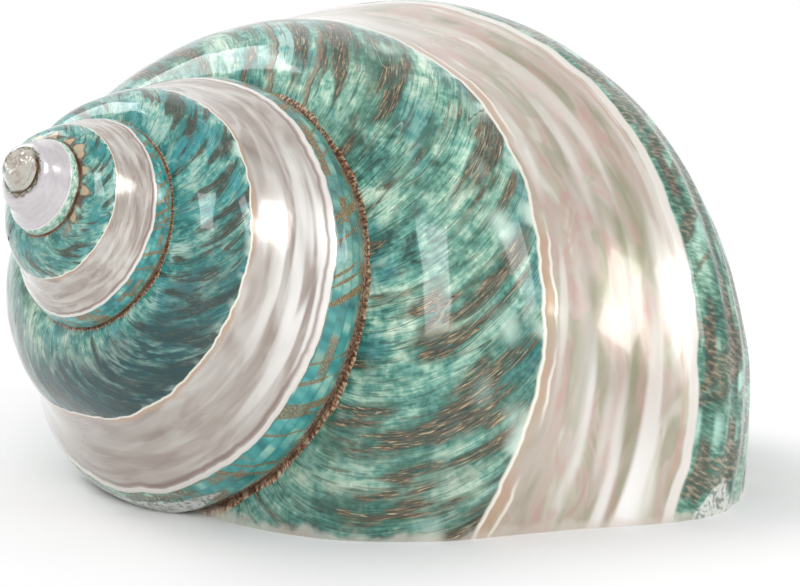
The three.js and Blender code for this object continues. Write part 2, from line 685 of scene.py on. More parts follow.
@dataclass(frozen=True)
class TurbanShell:
    """The whole shell, which Geometry Nodes build from its sizes.

    Attributes:
        outline: The tube's outline.
        growth: How the tube grows.
        wall: The wall and the pillar.
        relief: How far the outside stands proud.
        lie: How the shell lies.
        bands: Where its surface changes.
        fineness: How finely it is divided.
        sharp_edge: The angle from which an edge isn't smoothed, in radians.
    """

    outline: Outline = field(default_factory=Outline)
    growth: Growth = field(default_factory=Growth)
    wall: Wall = field(default_factory=Wall)
    relief: Relief = field(default_factory=Relief)
    lie: Lie = field(default_factory=Lie)
    bands: Bands = field(default_factory=Bands)
    fineness: Fineness = field(default_factory=Fineness)
    sharp_edge: float = math.radians(42)

    def build(self, finishes: dict[Kind, bpy.types.Material]) -> bpy.types.Object:
        """Makes the shell.

        Args:
            finishes: The material of each kind of face.

        Returns:
            The shell as a plain mesh, in place.
        """
        group = self._tree(finishes)
        carrier = bpy.data.objects.new("carrier", bpy.data.meshes.new("carrier"))
        bpy.context.scene.collection.objects.link(carrier)
        modifier = carrier.modifiers.new("Coil", "NODES")
        modifier.node_group = group
        for item in group.interface.items_tree:
            if item.in_out == "INPUT" and item.name == "Size":
                modifier[item.identifier] = self.growth.size
        evaluated = carrier.evaluated_get(bpy.context.evaluated_depsgraph_get())
        mesh = bpy.data.meshes.new_from_object(evaluated)
        carrier.modifiers.remove(modifier)
        bpy.data.objects.remove(carrier)
        mesh.name = "turban_shell"
        mesh.shade_smooth()
        mesh.set_sharp_from_angle(angle=self.sharp_edge)
        shell = bpy.data.objects.new("turban_shell", mesh)
        bpy.context.scene.collection.objects.link(shell)
        return shell

    def _sector(
        self, tree: GeometryTree, group: bpy.types.NodeTree, first: float, kind: Kind
    ) -> bpy.types.NodeSocket:
        """One sector of the tube or of its cavity, marked with its kind.

        Args:
            tree: The tree to write in.
            group: The sector's node group.
            first: Growth at its start, in turns.
            kind: OUTSIDE or CAVITY.

        Returns:
            The sector's closed mesh.
        """
        turns = min(self.growth.sector, self.growth.last - first)
        whorl = self.growth.ratio ** (first + turns)
        hollow = kind is Kind.CAVITY
        coarse = self.fineness.coarser_inside if hollow else 1.0
        steps = int(self.fineness.steps * whorl / coarse * turns / self.growth.sector)
        sides = int(self.fineness.sides * whorl / coarse)
        node = tree.add(
            "GeometryNodeGroup",
            {"node_tree": group},
            {
                "Size": tree.given("Size"),
                "Whorl Ratio": self.growth.ratio,
                "First Turn": first,
                "Turns": turns,
                "Inset": self.wall.thickness if hollow else 0.0,
                "Relief": self.wall.soft_inside if hollow else 1.0,
                "Steps": max(steps, self.fineness.least_steps),
                "Sides": max(sides, self.fineness.least_sides),
            },
        )
        return tree.of_kind(node.outputs[0], kind)

    def _pillar(self, tree: GeometryTree) -> bpy.types.NodeSocket:
        """The columella: a slender cone on the axis with a rounded end.

        Args:
            tree: The tree to write in.

        Returns:
            Its closed mesh, on the shell's own axis.
        """
        start, length = self.wall.pillar_start, self.wall.pillar_end
        thick = self.wall.pillar_slope * length
        rows, sides = self.fineness.pillar
        grid = tree.add(
            "GeometryNodeMeshGrid",
            None,
            {"Size X": 1.0, "Size Y": 1.0, "Vertices X": rows, "Vertices Y": sides},
        )
        across = tree.add("ShaderNodeSeparateXYZ", None, {0: grid.outputs["UV Map"]})
        z = tree.value(across.outputs[0]) * (length + 2 * thick - start) + start
        beyond = (z - length).at_least(0.0) / (2 * thick)
        rounding = (1 - beyond * beyond).at_least(0.0).root()
        radius = (z.at_most(length) - start) * (thick / (length - start)) * rounding
        angle = tree.value(across.outputs[1]) * -math.tau
        size = tree.given("Size")
        place = tree.vector(radius * angle.cos() * size, radius * angle.sin() * size, z * size)
        placed = tree.add(
            "GeometryNodeSetPosition", None, {"Geometry": grid.outputs["Mesh"], "Position": place}
        )
        closed = tree.add(
            "GeometryNodeMergeByDistance",
            None,
            {"Geometry": placed.outputs[0], "Distance": SAME_PLACE},
        )
        return tree.of_kind(closed.outputs[0], Kind.COLUMELLA)

    def _tip(self, tree: GeometryTree) -> bpy.types.NodeSocket:
        """The rounded first whorl.

        Args:
            tree: The tree to write in.

        Returns:
            Its closed mesh.
        """
        first = self.growth.first
        scale = self.growth.size * self.growth.ratio**first
        segments, rings = self.fineness.tip
        radius = self.wall.tip_share * self.outline.mean * scale
        ball = tree.add(
            "GeometryNodeMeshUVSphere",
            None,
            {"Segments": segments, "Rings": rings, "Radius": radius},
        )
        angle = first * math.tau
        offset = Vector(
            (
                self.outline.centre_r * math.cos(angle),
                self.outline.centre_r * math.sin(angle),
                self.outline.centre_z,
            )
        )
        moved = tree.add(
            "GeometryNodeTransform",
            None,
            {"Geometry": ball.outputs[0], "Translation": offset * scale},
        )
        in_nacre = 50 / 360
        mapped = tree.keep(
            moved.outputs[0], GROWTH_MAP, "CORNER", "FLOAT2", tree.vector(first, in_nacre)
        )
        return tree.of_kind(mapped, Kind.OUTSIDE)

    def _laid(self, tree: GeometryTree, mesh: bpy.types.NodeSocket) -> bpy.types.NodeSocket:
        """The shell turned from its own axis to how it lies.

        Args:
            tree: The tree to write in.
            mesh: The shell on its own axis.

        Returns:
            The shell as it lies, in metres.
        """
        spun = tree.add(
            "GeometryNodeTransform", None, {"Geometry": mesh, "Rotation": (0.0, 0.0, self.lie.spin)}
        )
        turned = tree.add(
            "GeometryNodeTransform",
            None,
            {
                "Geometry": spun.outputs[0],
                "Rotation": (0.0, math.pi / 2 + self.lie.dip, self.lie.heading),
                "Translation": self.lie.apex,
            },
        )
        return turned.outputs[0]

    def _floor_block(self, tree: GeometryTree) -> bpy.types.NodeSocket:
        """Everything below the floor.

        Args:
            tree: The tree to write in.

        Returns:
            A closed block, far wider than the shell.
        """
        side = 8 * self.growth.size
        block = tree.add("GeometryNodeMeshCube", None, {"Size": (side, side, side)})
        lowered = tree.add(
            "GeometryNodeTransform",
            None,
            {"Geometry": block.outputs[0], "Translation": (0.0, 0.0, -side / 2)},
        )
        return tree.of_kind(lowered.outputs[0], Kind.GROUND_EDGE)

    def _tree(self, finishes: dict[Kind, bpy.types.Material]) -> bpy.types.NodeTree:
        """Writes the tree that makes the whole shell.

        Args:
            finishes: The material of each kind of face.

        Returns:
            The node group for the modifier.
        """
        tree = GeometryTree("Coiled shell", {"Size": self.growth.size})
        tube = TubeSector(self.outline, self.growth, self.wall, self.bands, self.relief)
        sector = tube.build()
        body = tree.combine(Combine.JOIN, self._pillar(tree), self._tip(tree))
        cavity = None
        first = self.growth.first
        while first < self.growth.last:
            inside = first + self.growth.sector / 2
            if self.growth.hollow_from <= inside < self.growth.last:
                space = self._sector(tree, sector, inside, Kind.CAVITY)
                space = tree.combine(Combine.TAKE_AWAY, space, body)
                cavity = tree.combine(Combine.JOIN, cavity, space) if cavity else space
            whorl = self._sector(tree, sector, first, Kind.OUTSIDE)
            body = tree.combine(Combine.JOIN, body, whorl)
            first += self.growth.sector
        hollow = tree.combine(Combine.TAKE_AWAY, body, cavity)
        laid = self._laid(tree, hollow)
        cut = tree.combine(Combine.TAKE_AWAY, laid, self._floor_block(tree))
        whole = tree.add("GeometryNodeRealizeInstances", None, {0: cut}).outputs[0]
        return tree.finish(self._dressed(tree, whole, finishes))

    @staticmethod
    def _dressed(
        tree: GeometryTree,
        mesh: bpy.types.NodeSocket,
        finishes: dict[Kind, bpy.types.Material],
    ) -> bpy.types.NodeSocket:
        """Gives each kind of face its material.

        Args:
            tree: The tree to write in.
            mesh: The finished shape.
            finishes: The material of each kind of face.

        Returns:
            The mesh with its materials.
        """
        dressed = mesh
        for kind, material in finishes.items():
            named = tree.add(
                "GeometryNodeInputNamedAttribute", {"data_type": "INT"}, {"Name": KIND}
            )
            same = tree.add(
                "FunctionNodeCompare",
                {"data_type": "INT", "operation": "EQUAL"},
                {"A_INT": named.outputs[0], "B_INT": kind.value},
            )
            dressed = tree.add(
                "GeometryNodeSetMaterial",
                None,
                {"Geometry": dressed, "Selection": same.outputs[0], "Material": material},
            ).outputs[0]
        return dressed


class Finish(Tree):
    """A material written from Python.

    Attributes:
        material: The material.
        shader: Its glossy shader.
        turn: Growth at the point, in turns.
        degrees: Its place round the tube, in degrees.
        place: Its place on the object.
    """

    def __init__(self, name: str, roughness: float, coat: float) -> None:
        """Makes the material with its one glossy shader.

        Args:
            name: The material's name.
            roughness: Roughness under the polish.
            coat: Weight of the polish.
        """
        self.material = bpy.data.materials.new(name)
        self.material.use_nodes = True
        super().__init__(self.material.node_tree)
        self.data.nodes.clear()
        self.shader = self.add(
            "ShaderNodeBsdfPrincipled",
            None,
            {
                "Roughness": roughness,
                "Specular IOR Level": 0.15,
                "Coat Weight": coat,
                "Coat Roughness": 0.08,
            },
        )
        self.add("ShaderNodeOutputMaterial", None, {"Surface": self.shader.outputs[0]})
        growth = self.add("ShaderNodeUVMap", {"uv_map": GROWTH_MAP})
        parts = self.add("ShaderNodeSeparateXYZ", None, {0: growth.outputs[0]})
        self.turn = self.value(parts.outputs[0])
        self.degrees = self.value(parts.outputs[1]) * 360
        self.place = self.add("ShaderNodeTexCoord").outputs["Object"]

    def set(self, name: str, value: Any) -> None:
        """Fills one of the shader's sockets."""
        self.fill(self.input_of(self.shader, name), value)

    def noise(
        self, vector: bpy.types.NodeSocket, scale: float, detail: float = 2.0, twist: float = 0.0
    ) -> Value:
        """Soft noise round one half.

        Args:
            vector: Where it is read.
            scale: Its fineness.
            detail: How many finer layers it has.
            twist: How far it is distorted.

        Returns:
            The noise, from zero to one.
        """
        sockets = {"Vector": vector, "Scale": scale, "Detail": detail, "Distortion": twist}
        return self.value(self.add("ShaderNodeTexNoise", None, sockets).outputs[0])

    def cells(self, vector: bpy.types.NodeSocket, scale: float, random: float = 1.0) -> Value:
        """Distance to the nearest of a field of scattered points."""
        sockets = {"Vector": vector, "Scale": scale, "Randomness": random}
        return self.value(self.add("ShaderNodeTexVoronoi", None, sockets).outputs["Distance"])

    def ramp(self, value: Value, *stops: tuple[float, str]) -> bpy.types.NodeSocket:
        """A colour picked along a ramp of stops, each a position and a display colour."""
        return self.add("ShaderNodeValToRGB", {"stops": list(stops)}, {0: value}).outputs[0]

    def mix(self, share: Number, under: Any, over: Any, blend: str = "MIX") -> bpy.types.NodeSocket:
        """One colour laid over another.

        Args:
            share: How much of the upper one shows.
            under: The lower colour, as a socket or a display colour.
            over: The upper one.
            blend: How they mix.

        Returns:
            The colour.
        """
        layers = [colour(c) if isinstance(c, str) else c for c in (under, over)]
        node = self.add(
            "ShaderNodeMix",
            {"data_type": "RGBA", "blend_type": blend},
            {"Factor_Float": share, "A_Color": layers[0], "B_Color": layers[1]},
        )
        return node.outputs[2]

    def relief(self, height: Value, distance: float, strength: float = 1.0) -> None:
        """Gives the surface fine relief.

        Args:
            height: The height, from zero to one.
            distance: What one stands for, in metres.
            strength: How strongly it shows.
        """
        node = self.add(
            "ShaderNodeBump", None, {"Height": height, "Distance": distance, "Strength": strength}
        )
        self.set("Normal", node.outputs[0])


class OuterFinish(Finish):
    """The polished outside: jade green with brown flames, and bands ground down to nacre.

    Attributes:
        bands: Where the surface changes.
        out: Degrees round the tube from the suture.
        grown: Growth of the growth line through the point, in degrees.
        early: One on the early whorls.
        whorl: The whorl's size, as a share of the full size.
        ended: One where a later whorl covers the base side.
    """

    def __init__(self, bands: Bands, growth: Growth) -> None:
        """Writes the material.

        Args:
            bands: Where the surface changes.
            growth: How the shell grows.
        """
        super().__init__("polished jade and nacre", roughness=0.3, coat=1.0)
        self.bands = bands
        self.out = self.degrees - bands.suture
        self.grown = self.turn * 360 + self.out.rise(0.0, 65.0) * 42 + self.out * 0.45
        self.early = self.turn.fall(-2.3, -2.1)
        self.whorl = growth.ratio**self.turn
        self.ended = self.turn.fall(bands.last_suture_turn - 0.02, bands.last_suture_turn + 0.02)
        low, high = self._band_edges()
        band = self.degrees.rise(low - 0.35, low + 0.35) * self.degrees.fall(high - 0.35, high + 0.35)
        green = self._base_zone(self._crown_green(low), high)
        green = self.mix(self.ended * self.degrees.rise(high - 1, high + 1), green, self._beaded_zone())
        whole = self.mix(band, green, self._nacre(low, high))
        self.set("Base Color", self._worn_edge(self._apex(self._sutures(whole))))
        self.set("Roughness", 0.36 - band * 0.1)
        self.set("Metallic", band * 0.35)
        self._surface(band)

    def lines(self, across: float, along: float, seed: float) -> bpy.types.NodeSocket:
        """A place to read noise at, drawn out along the growth lines.

        Args:
            across: Detail per degree of growth.
            along: Detail per degree round the tube.
            seed: Tells one noise from another.

        Returns:
            The vector.
        """
        return self.vector(self.grown * across, self.degrees * along, seed)

    def spiral(self, across: float, along: float, seed: float) -> bpy.types.NodeSocket:
        """A place to read noise at, square to the spiral.

        Args:
            across: Detail per degree round the tube.
            along: Detail per degree of growth.
            seed: Tells one noise from another.

        Returns:
            The vector.
        """
        return self.vector(self.turn * (360 * along), self.degrees * across, seed)

    def streaks(
        self, across: float, along: float, seed: float, detail: float, twist: float = 0.0
    ) -> Value:
        """Noise drawn out along the growth lines, with lines' and noise's settings."""
        return self.noise(self.lines(across, along, seed), 1.0, detail, twist)

    def swirls(
        self, across: float, along: float, seed: float, detail: float, twist: float = 0.0
    ) -> Value:
        """Noise square to the spiral, with spiral's and noise's settings."""
        return self.noise(self.spiral(across, along, seed), 1.0, detail, twist)

    def _band_edges(self) -> tuple[Value, Value]:
        """Where the nacre starts and ends round the tube, uneven as ground by hand.

        Returns:
            Both edges, in degrees.
        """
        slow = (self.swirls(0.0, 0.03, 3.0, 1.0) - 0.5) * 5
        quick = (self.swirls(0.0, 0.14, 5.0, 2.0) - 0.5) * 3
        other = (self.swirls(0.0, 0.07, 9.0, 2.0) - 0.5) * 6
        later = self.turn.rise(-0.2, 0.1) * 1.2
        low = slow + quick + later + self.bands.nacre_from - self.early * 24
        return low, other + quick * 0.8 + self.bands.nacre_to

    def _crown_green(self, low: Value) -> bpy.types.NodeSocket:
        """The green between the suture and the nacre.

        Args:
            low: Where the nacre starts.

        Returns:
            Its colour.
        """
        cloud = self.streaks(0.07, 0.06, 1.0, 3.0, 0.4)
        streak = self.streaks(0.36, 0.17, 2.0, 4.0, 0.7)
        fine = self.streaks(2.1, 0.32, 3.0, 3.0)
        mottle = self.noise(self.place, 700.0, 3.0, 0.6)
        speck = self.noise(self.place, 2200.0, 2.0)
        mixed = cloud * 0.32 + streak * 0.18 + fine * 0.16 + mottle * 0.22 + speck * 0.12
        earlier = self.turn.fall(-0.55, -0.25)
        jade = self.ramp(
            (mixed - 0.49) * (1 + earlier * 0.5) + 0.495,
            (0.4, "123d34"),
            (0.445, "337064"),
            (0.49, "5c9889"),
            (0.53, "8ebaa6"),
            (0.59, "cfe2cd"),
        )
        blue = self.streaks(0.05, 0.08, 8.0, 2.0).rise(0.5, 0.64)
        jade = self.mix(blue * (0.5 + earlier * 0.2), jade, "328d97")
        olive = self.streaks(0.035, 0.04, 9.0, 2.0).rise(0.47, 0.6)
        jade = self.mix(olive * 0.2, jade, "5d6b4d")
        jade = self.mix(earlier * 0.45, jade, "1c8a8c")
        jade = self.mix(self.turn.rise(0.3, 0.45) * 0.3, jade, "24433a")
        pale = self.streaks(0.12, 0.14, 4.0, 2.0, 1.0).rise(0.56, 0.7)
        jade = self.mix(pale * 0.45, jade, "a9c4b0")
        inked = self.streaks(1.1, 0.17, 6.0, 4.0, 0.5).rise(0.55, 0.64)
        jade = self.mix(inked * 0.55, jade, "213f34")
        jade = self._flames(jade, fine, streak)
        jade = self._scars(self._cracks(self._mint_dots(jade, low)))
        # Painted shade on the last but one whorl: its green is mixed towards dark teal, less where the
        # streaks are light.
        shade_depth = 0.55 + streak.fall(0.42, 0.62) * 0.4
        return self.mix(self._painted_shade() * shade_depth, jade, "00363a")

    def _painted_shade(self) -> Value:
        """One where painted shade darkens the green of the last but one whorl."""
        return self.turn.rise(-0.75, -0.5) * self.turn.fall(-0.42, -0.2) * self.out.rise(2.0, 12.0)

    def _flames(
        self, under: bpy.types.NodeSocket, fine: Value, streak: Value
    ) -> bpy.types.NodeSocket:
        """Rusty flames: patches of fine hatching drawn out along the growth lines.

        Args:
            under: The colour they lie on.
            fine: Fine streaks, for the hatching.
            streak: Coarser streaks, for the ragged ends.

        Returns:
            The colour with the flames.
        """
        patch = self.streaks(0.13, 0.05, 21.0, 2.0, 0.6)
        near_band = self.degrees.bump(20.0, 20.0) * 0.12 - self.turn.fall(-1.6, -0.9) * 0.05 - 0.03
        ragged = patch + (streak - 0.5) * 0.3 + near_band
        body = ragged.rise(0.58, 0.64)
        hatch = self.streaks(2.6, 0.5, 23.0, 2.0, 1.0)
        rust = self.ramp(
            hatch * 0.6 + fine * 0.4,
            (0.4, "121c17"),
            (0.47, "34362a"),
            (0.53, "5f4836"),
            (0.57, "7f6247"),
            (0.63, "b9ab88"),
        )
        shadow = ragged.rise(0.5, 0.59) * (0.6 - self.turn.fall(-0.5, -0.2) * 0.25)
        darker = self.mix(shadow, under, "2c4f3f")
        thin = self.streaks(0.9, 0.14, 25.0, 3.0, 0.8).rise(0.62, 0.68) * 0.6
        darker = self.mix(thin, darker, "504834")
        rust = self.mix(self.turn.fall(-0.5, -0.2) * 0.75, rust, "1f1a10")
        return self.mix(body * hatch.rise(0.3, 0.44) * 0.85, darker, rust)

    def _mint_dots(self, under: bpy.types.NodeSocket, low: Value) -> bpy.types.NodeSocket:
        """Soft pale dots beside the nacre, where the green layer is thin.

        Args:
            under: The colour they lie on.
            low: Where the nacre starts.

        Returns:
            The colour with the dots.
        """
        far = low - self.degrees
        dots = self.cells(self.spiral(0.13, 0.1, 2.0), 1.0, 0.9).fall(0.05, 0.48)
        here = far.fall(5.0, 13.0) * self.swirls(0.05, 0.06, 6.0, 1.0).rise(0.36, 0.5)
        edge = far.fall(0.0, 3.5) * self.swirls(0.0, 0.11, 13.0, 1.0).rise(0.5, 0.6)
        last = self.turn.rise(-0.4, -0.1) * 0.8 + 0.2
        return self.mix((dots * here * 0.85 * last).at_least(edge * 0.9), under, "c4dacd")

    def _cracks(self, under: bpy.types.NodeSocket) -> bpy.types.NodeSocket:
        """Old healed cracks: thin dark lines with one pale side.

        Args:
            under: The colour they cross.

        Returns:
            The colour with the cracks.
        """
        course = self.streaks(0.05, 0.01, 31.0, 3.5, 0.1) - 0.44
        kept = self.streaks(0.04, 0.04, 33.0, 1.0).rise(0.46, 0.54)
        dark = course.abs().fall(0.001, 0.003) * kept
        light = (course - 0.004).abs().fall(0.001, 0.003) * kept
        return self.mix(dark * 0.6, self.mix(light * 0.3, under, "bcc3a6"), "3f3a2c")

    def _scars(self, under: bpy.types.NodeSocket) -> bpy.types.NodeSocket:
        """Old breaks of the lip, healed as ragged rusty lines along the growth.

        Args:
            under: The colour they cross.

        Returns:
            The colour with the scars.
        """
        wander = (self.swirls(0.13, 0.0, 35.0, 3.0) - 0.5) * 9
        hairs = self.streaks(1.5, 0.3, 36.0, 3.0, 0.6)
        for place in self.bands.scars:
            behind = self.grown + wander - place
            fringe = (behind.rise(-6.0, 0.0) * behind.fall(0.0, 0.8) + hairs).rise(1.1, 1.4)
            under = self.mix(fringe * self.degrees.fall(14.0, 26.0) * 0.65, under, "8a6a50")
            line = behind.abs().fall(0.1, 0.45) * self.degrees.fall(18.0, 30.0)
            under = self.mix(line * hairs.rise(0.35, 0.5) * 0.7, under, "3f3026")
        return under

    def _base_zone(self, under: bpy.types.NodeSocket, high: Value) -> bpy.types.NodeSocket:
        """The base of the last whorl: speckled spiral cords, pale spots and brown cross bars.

        Args:
            under: The colour on the other side of the nacre.
            high: Where the nacre ends.

        Returns:
            The colour with the base zone.
        """
        grain = self.swirls(0.3, 2.0, 41.0, 2.0, 0.1)
        cloud = self.swirls(0.1, 0.1, 43.0, 3.0)
        jade = self.ramp(
            cloud * 0.6 + grain * 0.4,
            (0.38, "24493e"),
            (0.48, "4a7a68"),
            (0.56, "79a28e"),
            (0.66, "aecfbd"),
        )
        row = (self.degrees - self.bands.cord_top) / self.bands.cord_pitch
        cord = (row * math.tau).cos() * 0.5 + 0.5
        broken = self.swirls(0.07, 0.11, 45.0, 3.0).rise(0.44, 0.54)
        bars = self.streaks(0.2, 0.03, 47.0, 2.0).rise(0.52, 0.58)
        speckle = (1 - cord + (grain - 0.5)).rise(0.5, 0.75) * broken + bars * 0.9
        brown = self.ramp(
            grain, (0.36, "1d211a"), (0.46, "43382b"), (0.54, "6c503f"), (0.66, "937a64")
        )
        jade = self.mix(speckle.at_most(1.0) * grain.rise(0.3, 0.44) * 0.75, jade, brown)
        spots = self.vector(self.turn * 43, row + 0.5, 49.5)
        spot = self.cells(spots, 1.0, 0.55).fall(0.08, 0.42)
        jade = self.mix(spot * cord.rise(0.2, 0.7) * (1 - bars * 0.7) * 0.9, jade, "b4dccd")
        return self.mix(self.degrees.rise(high - 1, high + 1), under, jade)

    def _beaded_zone(self) -> bpy.types.NodeSocket:
        """The strip between nacre and suture on earlier whorls: turquoise dashes, brown bars.

        Returns:
            Its colour.
        """
        rows = self.degrees * (1 / 5.2)
        row = self.value(self.add("ShaderNodeMath", {"operation": "FLOOR"}, {0: rows}).outputs[0])
        dash = self.noise(self.vector(self.turn * 26, row * 3.7, 51.0), 1.0, 1.0)
        tone = self.noise(self.vector(self.turn * 60, row * 5.1, 52.0), 1.0, 2.0)
        turquoise = self.ramp(
            tone, (0.36, "1f6c6d"), (0.48, "358c8c"), (0.58, "56a39e"), (0.68, "8dbcae")
        )
        groove = (rows - row - 0.5).abs().rise(0.3, 0.5) * 0.5
        turquoise = self.mix(groove, turquoise, "3a7f78")
        bar = self.streaks(0.34, 0.02, 53.0, 1.5).rise(0.56, 0.61)
        fleck = dash.rise(0.57, 0.63)
        grain = self.swirls(1.6, 1.6, 54.0, 2.0)
        brown = self.ramp(grain, (0.36, "463021"), (0.5, "7a5638"), (0.62, "8f8a5c"))
        near = self.degrees.rise(84.0, 93.0) * 0.35
        upper = self.turn.fall(-0.72, -0.6) * self.turn.rise(-0.95, -0.85)
        amount = bar * 0.85 + (fleck + upper * 0.35) * 0.8 + near * grain.rise(0.45, 0.55)
        dashed = self.mix(amount.at_most(1.0) * grain.rise(0.3, 0.46), turquoise, brown)
        mint = self.ramp(tone, (0.36, "6d9c85"), (0.5, "a3c6b4"), (0.64, "d5dfd5"))
        return self.mix(self.early * 0.9, dashed, mint)

    def _nacre(self, low: Value, high: Value) -> bpy.types.NodeSocket:
        """The mother of pearl, with peach and cream layers showing at its edges; pale streaks that are
        partly its own and partly painted sheen, painted highlights, and painted shade on the last but
        one whorl.

        Args:
            low: Where it starts, in degrees round the tube.
            high: Where it ends.

        Returns:
            Its colour.
        """
        body = self.turn.rise(-0.15, 0.1)
        soft = self.swirls(0.1, 0.05, 61.0, 2.0, 0.9)
        pearl = self.ramp(
            soft,
            (0.3, "949079"),
            (0.4, "aaa190"),
            (0.48, "b8aea1"),
            (0.54, "baa69c"),
            (0.6, "b5af9d"),
            (0.7, "cfcac0"),
        )
        plain = self.ramp(soft, (0.32, "978b83"), (0.5, "aba29a"), (0.66, "bfbab4"))
        pearl = self.mix(body, plain, pearl)
        pink = self.swirls(0.12, 0.085, 63.0, 2.0, 1.4).rise(0.52, 0.64)
        pearl = self.mix(pink * 0.55 * body, pearl, "b8938a")
        sage = self.swirls(0.11, 0.075, 65.0, 2.0, 1.4).rise(0.53, 0.64)
        pearl = self.mix(sage * 0.5 * body, pearl, "93987d")
        # Pale streaks along the spiral: partly the nacre's own pearly patches, partly painted sheen,
        # with a painted sheen ridge round 55 degrees that is stronger on the last whorl.
        sheen_streak_noise = self.swirls(0.14, 0.022, 67.0, 1.0, 0.3)
        painted_sheen = self.degrees.bump(55.0, 18.0) * (0.06 + self.turn.rise(0.2, 0.36) * 0.1)
        streaks = (sheen_streak_noise + painted_sheen).rise(0.54, 0.68) * (1 - self.turn.fall(0.1, 0.27) * body * 0.6)
        # Painted highlights: whiter patches where the lights reflect, on the last but one whorl and in
        # two places on the last whorl.
        painted_highlight = self.turn.bump(-0.67, 0.16) * self.degrees.rise(36.0, 46.0)
        painted_highlight = painted_highlight.at_least(self.turn.bump(0.4, 0.09) * self.degrees.bump(58.0, 10.0) * 1.6)
        painted_highlight = painted_highlight.at_least(self.turn.bump(0.31, 0.1) * self.degrees.bump(45.0, 13.0))
        pearl = self.mix(streaks * (0.3 + 0.35 * body), pearl, "e4e1da")
        pearl = self.mix(painted_highlight * sheen_streak_noise.rise(0.4, 0.56) * 0.85, pearl, "f0eeeb")
        # Painted shade: the nacre of the last but one whorl darker, mauve-grey, round a growth of -0.4
        # turns.
        pearl = self.mix(self.turn.bump(-0.4, 0.16) * (1 - body) * 0.4, pearl, "8f7f76")
        pearl = self.mix(self.early * 0.7, pearl, "c9c5cb")
        return self._edges(pearl, low, high, body)

    def _edges(
        self, under: bpy.types.NodeSocket, low: Value, high: Value, body: Value
    ) -> bpy.types.NodeSocket:
        """The layers cut through at both edges of the nacre.

        Args:
            under: The nacre.
            low: Where it starts.
            high: Where it ends.
            body: One on the last whorl.

        Returns:
            The colour with the stripes.
        """
        inside, beyond = self.degrees - low, high - self.degrees
        wide = self.swirls(0.0, 0.06, 71.0, 1.0) * 2 - 0.2
        peach = inside.rise(0.6, 1.1) * inside.fall(1.2 + wide, 1.9 + wide) * (1 - self.early)
        cut = self.swirls(0.0, 0.05, 73.0, 1.0).rise(0.38, 0.56)
        coloured = self.mix(peach * (0.2 + 0.5 * cut), under, "bb9a7c")
        second = (inside - wide - 2.3).abs().fall(0.15, 0.5) * body * cut
        coloured = self.mix(second * 0.8, coloured, "efe6d8")
        coloured = self.mix(inside.fall(0.5, 0.95) * (1 - self.early), coloured, "f0eade")
        mauve = beyond.bump(wide + 3.8, 1.9) * (1 - body) * (1 - self.early)
        coloured = self.mix(mauve * 0.7, coloured, "7d625b")
        rose = beyond.bump(wide + 3.4, 0.9) * body
        coloured = self.mix(rose * (0.15 + 0.5 * cut), coloured, "c0957e")
        rim = beyond.fall(1.6 + wide * 0.7, 2.6 + wide * 0.7)
        return self.mix(rim * 0.75, coloured, "ebe6e0")

    def _sutures(self, under: bpy.types.NodeSocket) -> bpy.types.NodeSocket:
        """The rusty, crumbling line along the sutures.

        Args:
            under: The colour it lies on.

        Returns:
            The colour with the line.
        """
        crumbs = self.swirls(0.9, 1.1, 81.0, 3.0, 0.6)
        hairs = self.swirls(0.4, 0.8, 83.0, 3.0, 0.8)
        worn = self.swirls(0.0, 0.045, 85.0, 2.0).rise(0.48, 0.62)
        before = self.bands.next_whorl - self.degrees
        core = self.out.fall(0.0, 0.35).at_least(before.fall(0.2, 0.9) * self.ended)
        after = self.out.fall(0.1 + worn * 0.5, 0.9 + worn * 0.9)
        ahead = before.fall(0.3 + worn * 1.5, 2.2 + worn * 3) * self.ended
        fringe = (after.at_least(ahead) + hairs - 0.5).rise(0.44, 0.52)
        rust = self.ramp(
            crumbs, (0.38, "4f3226"), (0.45, "86523b"), (0.52, "ad7b5a"), (0.59, "d0bd9f")
        )
        coloured = self.mix(fringe * 0.85, under, rust)
        return self.mix(core * (0.4 + 0.4 * worn), coloured, "41291e")

    def _apex(self, under: bpy.types.NodeSocket) -> bpy.types.NodeSocket:
        """The early whorls: cream beads along the suture, and a worn beige tip.

        Args:
            under: The colour they lie on.

        Returns:
            The colour with the beads and the tip.
        """
        young = self.turn.fall(-1.58, -1.5) * self.turn.rise(-3.3, -3.2)
        uneven = self.swirls(0.0, 0.05, 87.0, 1.0)
        spread = self.swirls(0.12, 0.1, 88.0, 1.0)
        beads = ((self.turn * 15 + uneven * 1.6) * math.tau).cos() * 0.5 + 0.5
        reach = (beads * (uneven * 14) + spread * 8 - 1) * (1 - self.early * 0.45)
        rusty = (self.out - reach * 0.6 - 2).fall(0.0, 5.0) * young * spread.rise(0.36, 0.5)
        coloured = self.mix(rusty * 0.85, under, "5f3f2e")
        cream = self.out.fall(reach - 2.5, reach) * self.out.rise(0.8, 2.4) * young
        coloured = self.mix(cream * beads.rise(0.15, 0.6) * 0.9, coloured, "b8a386")
        mottle = self.noise(self.place, 1400.0, 2.0).rise(0.52, 0.6)
        tip = self.mix(mottle * 0.45, "b5b1a8", "8d7259")
        bare = self.turn.fall(-2.85, -2.75) * self.out.fall(0.0, 1.5)
        return self.mix(self.turn.fall(-3.45, -3.3).at_least(bare), coloured, tip)

